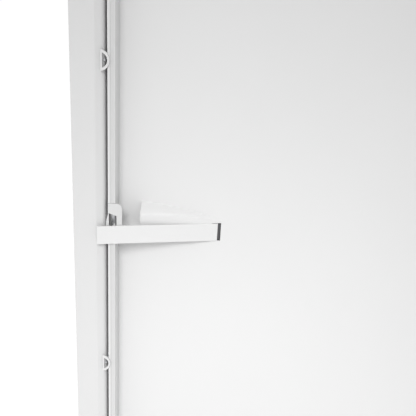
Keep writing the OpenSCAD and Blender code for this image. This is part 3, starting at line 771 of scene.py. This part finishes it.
def door_mesh():
    """The door as one pressed skin: folded edge, raised rim, recessed panel and pressed hood."""
    _, size = settings()
    low, high = BOX_DOOR
    hood_x, xs, zs, openings = door_lines()
    end_x = openings[0][1]
    rim, deep, r = size.rim_width, size.recess, size.bend_radius
    fall = 0.5 * MM                      # the rim's face leans back towards the panel
    rings = [(0.0, high.y - low.y - size.sheet)]
    bend = [math.pi * k / 8 for k in (1, 2, 3)]
    rings += [(r - r * math.cos(a), r - r * math.sin(a)) for a in (0, *bend)]
    rings += [(r, 0.0), (2.7 * MM, 0.08 * MM), (3.1 * MM, 0.16 * MM), (3.25 * MM, 0.5 * MM),
              (3.6 * MM, 0.5 * MM), (3.75 * MM, 0.25 * MM), (rim - 2 * r, 0.42 * MM), (rim - r, fall)]
    rings += [(rim - r + r * math.sin(a), fall + r - r * math.cos(a)) for a in bend]
    foot = 1.5 * MM
    rings += [(rim, r + fall), (rim, deep - 4 * MM), (rim, deep - foot)]
    rings += [(rim + foot - foot * math.cos(a), deep - foot + foot * math.sin(a))
              for a in (math.pi / 6, math.pi / 3)]
    rings += [(rim + foot, deep)]
    panel_y = low.y + deep
    nx, nz = len(xs), len(zs)
    verts, shade_list, index = [], [], {}

    def vert(key, point, shade_amount=0.0):
        if key not in index:
            index[key] = len(verts)
            verts.append(point)
            shade_list.append(shade_amount)
        return index[key]

    # once round the panel: bottom, right, top and left, as (side, line) pairs
    loop = ([("b", i) for i in range(nx)] + [("r", j) for j in range(1, nz)]
            + [("t", i) for i in range(nx - 2, -1, -1)] + [("l", j) for j in range(nz - 2, 0, -1)])

    def ring_point(side, k, inset, depth):
        x0, x1, z0, z1 = low.x + inset, high.x - inset, low.z + inset, high.z - inset
        along_x = x0 if k == 0 else x1 if k == nx - 1 else xs[min(k, nx - 1)]
        along_z = z0 if k == 0 else z1 if k == nz - 1 else zs[min(k, nz - 1)]
        x, z = {"l": (x0, along_z), "r": (x1, along_z), "b": (along_x, z0), "t": (along_x, z1)}[side]
        return Vector((x, low.y + depth, z))

    def latch_gap(side, k, n, inset):
        """Whether the rim is open here for the latch plate or its window."""
        if side != "l" or loop[n][0] != "l":
            return False
        z = (zs[k] + zs[loop[n][1]]) / 2
        return BOX_LATCH[0].z - SEAM < z < BOX_LATCH[1].z + SEAM and r * 0.2 < inset < rim - 0.1 * MM

    def window_gap(side, k, n, depth):
        """Whether the inner wall of the rim is open here behind the latch window."""
        if side != "l" or loop[n][0] != "l" or not 0.9 * MM < depth < RECESS - 4 * MM:
            return False
        return abs((zs[k] + zs[loop[n][1]]) / 2 - LATCH_Z) < WINDOW_HALF

    faces = []
    for n_ring, (inset, depth) in enumerate(rings):
        last = n_ring == len(rings) - 1
        for n, (side, k) in enumerate(loop):
            if last:
                i = k if side in "bt" else (0 if side == "l" else nx - 1)
                j = k if side in "lr" else (0 if side == "b" else nz - 1)
                vert((n_ring, n), Vector((xs[i], panel_y, zs[j])))
                index[("g", i, j)] = index[(n_ring, n)]
            else:
                # painted shade: 1 greys the rim's face, 0.6 greys the rim's foot in the panel's corner
                shade_here = 1.0 if r < inset <= rim - r else 0.6 if depth > deep - 2 * foot else 0.0
                vert((n_ring, n), ring_point(side, k, inset, depth), shade_here)
    for n_ring, (here, there) in enumerate(zip(rings, rings[1:])):
        inset, depth = (here[0] + there[0]) / 2, (here[1] + there[1]) / 2
        for n in range(len(loop)):
            m = (n + 1) % len(loop)
            side, k = loop[n]
            if there[1] < 1.3 * MM and latch_gap(side, k, m, max(inset, 0.3 * r)):
                continue
            if inset > rim - 0.1 * MM and window_gap(side, k, m, depth):
                continue
            a, b = index[(n_ring, n)], index[(n_ring, m)]
            faces.append((a, b, index[(n_ring + 1, m)], index[(n_ring + 1, n)]))
    for j in range(nz):
        for i in range(nx):
            if ("g", i, j) not in index:
                lift = hood_lift(xs[i], zs[j], hood_x, end_x, size.hood_height)
                vert(("g", i, j), Vector((xs[i], panel_y - lift, zs[j])))
    for j in range(nz - 1):
        for i in range(nx - 1):
            cx, cz = (xs[i] + xs[i + 1]) / 2, (zs[j] + zs[j + 1]) / 2
            if any(a < cx < b and c < cz < d for a, b, c, d in openings):
                continue
            if xs[i + 1] <= hood_x + 1e-6 < xs[i + 1] + 2e-6 + 0.02 * MM and xs[i + 1] - xs[i] < 0.2 * MM:
                if hood_lift(hood_x, cz, hood_x, end_x, size.hood_height) > 0.6 * MM:
                    continue
            faces.append((index[("g", i, j)], index[("g", i + 1, j)],
                          index[("g", i + 1, j + 1)], index[("g", i, j + 1)]))
    mesh = mesh_from("door_skin", verts, faces)
    # painted shade weights, kept as a point attribute for the door paint
    shade_amount = mesh.attributes.new("painted_shade", "FLOAT", "POINT")
    shade_amount.data.foreach_set("value", shade_list)
    return mesh


class LOCKER_OT_door_skin(bpy.types.Operator):
    """Builds the door's pressed skin with its rim, recess, hood and openings"""
    bl_idname = "locker.door_skin"
    bl_label = "Door skin"

    def execute(self, context):
        _, size = settings()
        mesh = door_mesh()
        front = min(mesh.polygons, key=lambda p: (p.center - Vector((0, BOX_DOOR[0].y, LATCH_Z))).length)
        if front.normal.y > 0:
            mesh.flip_normals()
        obj = new_object("door_skin", mesh, finish("door_paint"))
        wall = obj.modifiers.new("sheet", "SOLIDIFY")
        wall.thickness = size.sheet * 0.96
        wall.offset = -1.0
        wall.use_even_offset = True
        wall.use_rim = True
        apply_modifiers(obj)
        finish_piece(obj, "door", "door_paint", "door_panel", "lever_hood", angle=32)
        return {"FINISHED"}


def louvre_blade(length):
    """One louvre: a quarter-round hood with closed, rounded ends."""
    out, tall, t = 5.4 * MM, 10.5 * MM, 0.9 * MM
    steps, columns = 9, 28
    verts, faces = [], []
    for shell in (0, 1):
        for i in range(columns + 1):
            s = i / columns
            near = min(s, 1 - s) * length
            bulge = math.sqrt(max(0.0, 1 - (1 - min(1.0, near / (9 * MM))) ** 2))
            for k in range(steps + 1):
                a = math.pi / 2 * k / steps
                depth = out * math.sin(a) * bulge - shell * t * (0.3 + 0.7 * math.sin(a))
                verts.append((-length / 2 + length * s, -max(depth, -t),
                              tall * math.cos(a) * (1 - 0.04 * shell)))
    row = steps + 1
    block = row * (columns + 1)
    for shell in (0, 1):
        for i in range(columns):
            for k in range(steps):
                a = shell * block + i * row + k
                quad = (a, a + row, a + row + 1, a + 1)
                faces.append(quad if shell == 0 else quad[::-1])
    seams = [(i * row + k, (i + 1) * row + k) for i in range(columns) for k in (0, steps)]
    seams += [(i * row + k, i * row + k + 1) for i in (0, columns) for k in range(steps)]
    faces += [(a, b, block + b, block + a) for a, b in seams]
    blade = mesh_from("louvre", verts, faces)
    fix_normals(blade)
    return blade


class LOCKER_OT_louvres(bpy.types.Operator):
    """Presses the rows of ventilation louvres"""
    bl_idname = "locker.louvres"
    bl_label = "Louvres"

    def execute(self, context):
        starts = vent_starts()
        low, high = BOX_LOUVRES
        _, size = settings()
        start = ((low.x + high.x) / 2, FACE_Y + size.recess, starts[0])
        grown = grow("louvres", louvre_blade(high.x - low.x), repeat_tree(), Columns=2,
                     Column_Step=(0.0, 0.0, starts[1] - starts[0]), Rows=VENT_COUNT,
                     Row_Step=(0.0, 0.0, VENT_PITCH), Start=start, Finish=finish("door_paint"))
        obj = new_object("louvres", grown)
        finish_piece(obj, "door", "door_paint", "louvre_blades", angle=50)
        return {"FINISHED"}


# ---------- plain sheets and fittings ----------

# CAD node, finish slot and edge radius in millimetres
SOFT_SHEETS = [(node, "body_paint", radius) for node, radius in (
    ("left_side", 0.30), ("right_side", 0.30), ("back_panel", 0.30), ("top_panel", 0.45),
    ("floor_panel", 0.30), ("plinth", 0.40), ("head_rail", 0.40), ("sill_rail", 0.40),
    ("hat_shelf", 0.35))]
SOFT_FITTINGS = (
    ("latch_plate", "door_paint", 0.35), ("door_eyes", "door_paint", 0.62),
    ("pull_lever", "lever_paint", 0.50), ("door_stiffener", "door_paint", 0.25),
    ("card_holder", CHROME, 0.20), ("hinge_frame_leaves", ZINC, 0.20), ("hinge_door_leaves", ZINC, 0.20),
    ("hinge_pins", ZINC, 0.40), ("catch_studs", ZINC, 0.15), ("shelf_clips", ZINC, 0.30),
    ("foot_plates", ZINC, 0.40), ("foot_studs", ZINC, 0.35), ("lever_bracket", ZINC, 0.25),
    ("lever_pin", ZINC, 0.35), ("crank_stud", ZINC, 0.30), ("bar_guides", "black_nylon", 0.12),
    # painted shade: the lever hub is black nylon so the slot beside the lever's end looks dark as in shadow
    ("lever_hub", "black_nylon", 0.30), ("lift_crank", ZINC, 0.30), ("crank_peg", ZINC, 0.25),
    ("lock_bar", ZINC, 0.30), ("bar_fingers", ZINC, 0.40), ("centre_hook", "door_paint", 0.20),
    ("bar_lug", ZINC, 0.30), ("coat_rail", CHROME, 0.25), ("coat_hooks", CHROME, 0.40),
    ("rail_brackets", CHROME, 0.35), ("door_buffers", "black_rubber", 0.45),
)
# Painted shade that greys the latch plate and the eyes, from 0 to 1
PAINTED_SHADE_BY_NODE = {"latch_plate": 0.7, "door_eyes": 0.45}


def soften_all(rows):
    """Rounds and finishes CAD nodes as they are."""
    owner = {n: body for body, nodes in frame["record"]["behaviour"]["bodies"].items() for n in nodes}
    for node, slot, radius in rows:
        obj = softened(node + "_finished", node, finish(slot), radius * MM)
        # painted shade: greys the listed pieces through a point attribute
        if node in PAINTED_SHADE_BY_NODE:
            shade_amount = obj.data.attributes.new("painted_shade", "FLOAT", "POINT")
            shade_amount.data.foreach_set("value", [PAINTED_SHADE_BY_NODE[node]] * len(obj.data.vertices))
        finish_piece(obj, owner[node], slot, node)


class LOCKER_OT_sheets(bpy.types.Operator):
    """Rounds and paints the plain sheets of the cabinet"""
    bl_idname = "locker.sheets"
    bl_label = "Cabinet sheets"

    def execute(self, context):
        soften_all(SOFT_SHEETS)
        return {"FINISHED"}


class LOCKER_OT_fittings(bpy.types.Operator):
    """Rounds and finishes the latch, lever, hinges, linkage and interior fittings"""
    bl_idname = "locker.fittings"
    bl_label = "Fittings"

    def execute(self, context):
        soften_all(SOFT_FITTINGS)
        return {"FINISHED"}


def rivet_head(radius, height):
    """A low dome with a small flat, seated on z = 0."""
    dome = [(radius, 0.0), (radius, 0.12 * height)]
    dome += [(radius * math.cos(a), 0.12 * height + 0.88 * height * math.sin(a))
             for a in (math.radians(d) for d in (18, 36, 54, 72))]
    return lathe("rivet", [(0.0, 0.0)] + dome + [(0.0, height)], segments=20)


class LOCKER_OT_rivets(bpy.types.Operator):
    """Sets the rows of rivets on the sides, hinges and card holder"""
    bl_idname = "locker.rivets"
    bl_label = "Rivets"

    def execute(self, context):
        tree = repeat_tree()
        zinc = finish(ZINC)

        def rivet_rows(radius, height, **grid):
            return grow("row", rivet_head(radius, height), tree, Finish=zinc, **grid)

        low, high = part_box("body_rivets")
        radius = (high.y - low.y) / 2
        span = high.z - low.z - 2 * radius
        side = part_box("left_side")[0].x
        parts = []
        for sign in (-1, 1):
            row = rivet_rows(radius, 1.2 * MM, Columns=SIDE_RIVETS, Rows=1,
                             Column_Step=(-sign * span / (SIDE_RIVETS - 1), 0.0, 0.0),
                             Start=(-sign * (low.z + radius), (low.y + high.y) / 2, -side))
            parts.append((row, Matrix.Rotation(sign * math.pi / 2, 4, "Y")))
        obj = join_meshes("side_rivets", parts, zinc)
        finish_piece(obj, "cabinet", ZINC, "body_rivets")

        pin_low, pin_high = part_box("hinge_pins")
        pins = (pin_high.z - pin_low.z - HINGE_HEIGHT) / 2
        for node, body, facing in (("hinge_frame_rivets", "cabinet", 1), ("hinge_door_rivets", "door", -1)):
            low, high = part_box(node)
            radius = (high.y - low.y) / 2
            seat = low.x if facing > 0 else high.x
            row = rivet_rows(radius, high.x - low.x, Columns=3, Rows=2,
                             Column_Step=(-facing * pins, 0.0, 0.0),
                             Row_Step=(-facing * HINGE_RIVETS, 0.0, 0.0),
                             Start=(-facing * (low.z + radius), (low.y + high.y) / 2, facing * seat))
            turn = Matrix.Rotation(facing * math.pi / 2, 4, "Y")
            finish_piece(join_meshes(node + "_set", [(row, turn)], zinc), body, ZINC, node)

        low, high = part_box("card_holder_rivets")
        radius = (high.z - low.z) / 2
        row = rivet_rows(radius, high.y - low.y, Columns=2, Rows=1,
                         Column_Step=(high.x - low.x - 2 * radius, 0.0, 0.0),
                         Start=(low.x + radius, (low.z + high.z) / 2, -high.y))
        obj = join_meshes("card_rivets", [(row, Matrix.Rotation(math.pi / 2, 4, "X"))], zinc)
        finish_piece(obj, "door", ZINC, "card_holder_rivets")
        return {"FINISHED"}


class LOCKER_OT_spring(bpy.types.Operator):
    """Winds the lever's return spring"""
    bl_idname = "locker.spring"
    bl_label = "Return spring"

    def execute(self, context):
        _, size = settings()
        low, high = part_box("return_spring")
        wire = 0.55 * MM
        seed = bpy.data.meshes.new("seed")
        grown = grow("spring", seed, coil_tree(), Turns=float(size.spring_turns),
                     Radius=(high.x - low.x) / 2 - wire, Wire=wire, Height=high.z - low.z - 2 * wire,
                     Finish=finish("zinc_plate"))
        centre = Vector(((low.x + high.x) / 2, (low.y + high.y) / 2, low.z + wire))
        grown.transform(Matrix.Translation(centre))
        obj = new_object("spring_coil", grown)
        finish_piece(obj, "door", "zinc_plate", "return_spring")
        return {"FINISHED"}


class LOCKER_OT_feet(bpy.types.Operator):
    """Moulds the ribbed rubber pads of the feet"""
    bl_idname = "locker.feet"
    bl_label = "Foot pads"

    def execute(self, context):
        low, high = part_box("foot_pads")
        r, tall = PAD_RADIUS, high.z - low.z
        rubber = finish("black_rubber")
        profile = [(0.0, 0.0), (r - 1.6 * MM, 0.0)]
        profile += arc_points(r - 1.6 * MM, 1.6 * MM, 1.6 * MM, -90, 0, 4)[1:]
        profile += [(r, 4.2 * MM), (r - 0.6 * MM, 5.2 * MM), (10.6 * MM, tall - 0.4 * MM), (10 * MM, tall),
                    (0.0, tall)]
        pad = lathe("pad", profile, 40)
        rib = mesh_from("rib", [(x * 0.9 * MM, y * 0.8 * MM, z) for z in (0.8 * MM, 4.6 * MM)
                                for x, y in ((-1, -1), (0.5, -0.6), (0.5, 0.6), (-1, 1))],
                        [(3, 2, 1, 0), (4, 5, 6, 7), (0, 1, 5, 4), (1, 2, 6, 5), (2, 3, 7, 6), (3, 0, 4, 7)])
        ribs = grow("ribs", rib, ring_tree(), Count=PAD_RIBS, Radius=r, Finish=rubber)
        joined = join_meshes("pad_with_ribs", [(pad, Matrix()), (ribs, Matrix())], rubber)
        single = joined.data
        bpy.data.objects.remove(joined)
        x = (high.x - low.x) / 2 - r
        grown = grow("pads", single, repeat_tree(), Columns=2, Column_Step=(2 * x, 0.0, 0.0), Rows=2,
                     Row_Step=(0.0, high.y - low.y - 2 * r, 0.0), Start=(-x, low.y + r, 0.0),
                     Finish=rubber)
        obj = new_object("ribbed_pads", grown)
        finish_piece(obj, "cabinet", "black_rubber", "foot_pads")
        return {"FINISHED"}


# ---------- stage ----------

def backdrop(scene, front):
    """White behind the locker and a little dimmer in front of it."""
    world = bpy.data.worlds.new("studio")
    scene.world = world
    world.use_nodes = True
    tree = world.node_tree
    background = tree.nodes["Background"]
    background.inputs["Strength"].default_value = 1.0
    place = tree.nodes.new("ShaderNodeTexCoord").outputs["Generated"]
    split = tree.nodes.new("ShaderNodeSeparateXYZ")
    tree.links.new(place, split.inputs["Vector"])
    side = map_range(tree, split.outputs["X"], -0.8, 0.8, 1.28, 0.70)
    above = map_range(tree, split.outputs["Z"], 0.0, 0.9, 0.90, 1.60)
    tone = math_node(tree, "MULTIPLY", math_node(tree, "MULTIPLY", side, above), front)
    behind = map_range(tree, split.outputs["Y"], -0.1, 0.4, 0.0, 1.0)
    ahead = math_node(tree, "SUBTRACT", 1.0, behind)
    tone = math_node(tree, "ADD", math_node(tree, "MULTIPLY", tone, ahead),
                     math_node(tree, "MULTIPLY", behind, 1.02))
    tree.links.new(grey_colour(tree, tone), background.inputs["Color"])


def spot(name, place, target, pool, power):
    """A soft spot whose pool of light has the given radius at the target."""
    data = bpy.data.lights.new(name, "SPOT")
    aim = Vector(target) - Vector(place)
    data.energy = power
    data.shadow_soft_size = 0.35
    data.spot_size = 2 * math.atan(pool / aim.length)
    data.spot_blend = 0.75
    lamp = bpy.data.objects.new(name, data)
    bpy.context.scene.collection.objects.link(lamp)
    lamp.matrix_world = Matrix.Translation(place) @ aim.to_track_quat("-Z", "Y").to_matrix().to_4x4()


class LOCKER_OT_stage(bpy.types.Operator):
    """Lays the floor and sets the lights and the camera"""
    bl_idname = "locker.stage"
    bl_label = "Stage"

    def execute(self, context):
        scene = context.scene
        scene.view_settings.view_transform = "Standard"
        scene.view_settings.look = "None"
        half = 6.0
        plane = mesh_from("floor", [(-half, -half, 0), (half, -half, 0), (half, half, 0), (-half, half, 0)],
                          [(0, 1, 2, 3)])
        floor = new_object("floor", plane, floor_finish())
        backdrop(scene, 0.51)
        spot("key", (SIDE_X + 0.02, FACE_Y - 1.15, 1.55), (SIDE_X + 0.16, FACE_Y, 0.36), 0.74, 66.0)
        camera = bpy.data.objects.new("camera", bpy.data.cameras.new("camera"))
        scene.collection.objects.link(camera)
        camera.data.sensor_width = 36.0
        camera.data.lens = 50.0
        camera.data.clip_start = 0.02
        place = Vector((SIDE_X + 0.1404, FACE_Y - 0.567, LATCH_Z + 0.2216))
        down, roll = math.radians(19.1), math.radians(3.2)
        camera.matrix_world = (Matrix.Translation(place) @ Matrix.Rotation(math.pi / 2 - down, 4, "X")
                               @ Matrix.Rotation(roll, 4, "Z"))
        scene.camera = camera
        return {"FINISHED"}


STEPS = ("stage", "stiles", "door_skin", "louvres", "sheets", "fittings", "rivets", "spring", "feet")


class LOCKER_PT_build(bpy.types.Panel):
    """Lists the pieces of the locker"""
    bl_idname = "LOCKER_PT_build"
    bl_label = "Locker"
    bl_space_type = "VIEW_3D"
    bl_region_type = "UI"
    bl_category = "Locker"

    def draw(self, context):
        layout = self.layout
        for step in STEPS:
            layout.operator("locker." + step)
        for group in (context.scene.locker_finish, context.scene.locker_sizes):
            for name in group.bl_rna.properties.keys():
                if name not in ("rna_type", "name"):
                    layout.prop(group, name)


CLASSES = (LockerFinish, LockerSizes, LOCKER_OT_stage, LOCKER_OT_stiles, LOCKER_OT_door_skin,
           LOCKER_OT_louvres, LOCKER_OT_sheets, LOCKER_OT_fittings, LOCKER_OT_rivets, LOCKER_OT_spring,
           LOCKER_OT_feet, LOCKER_PT_build)


def register():
    for cls in CLASSES:
        bpy.utils.register_class(cls)
    bpy.types.Scene.locker_finish = PointerProperty(type=LockerFinish)
    bpy.types.Scene.locker_sizes = PointerProperty(type=LockerSizes)


def unregister():
    del bpy.types.Scene.locker_sizes
    del bpy.types.Scene.locker_finish
    for cls in reversed(CLASSES):
        bpy.utils.unregister_class(cls)


def main():
    register()
    for step in STEPS:
        getattr(bpy.ops.locker, step)()


if __name__ == "__main__":
    main()
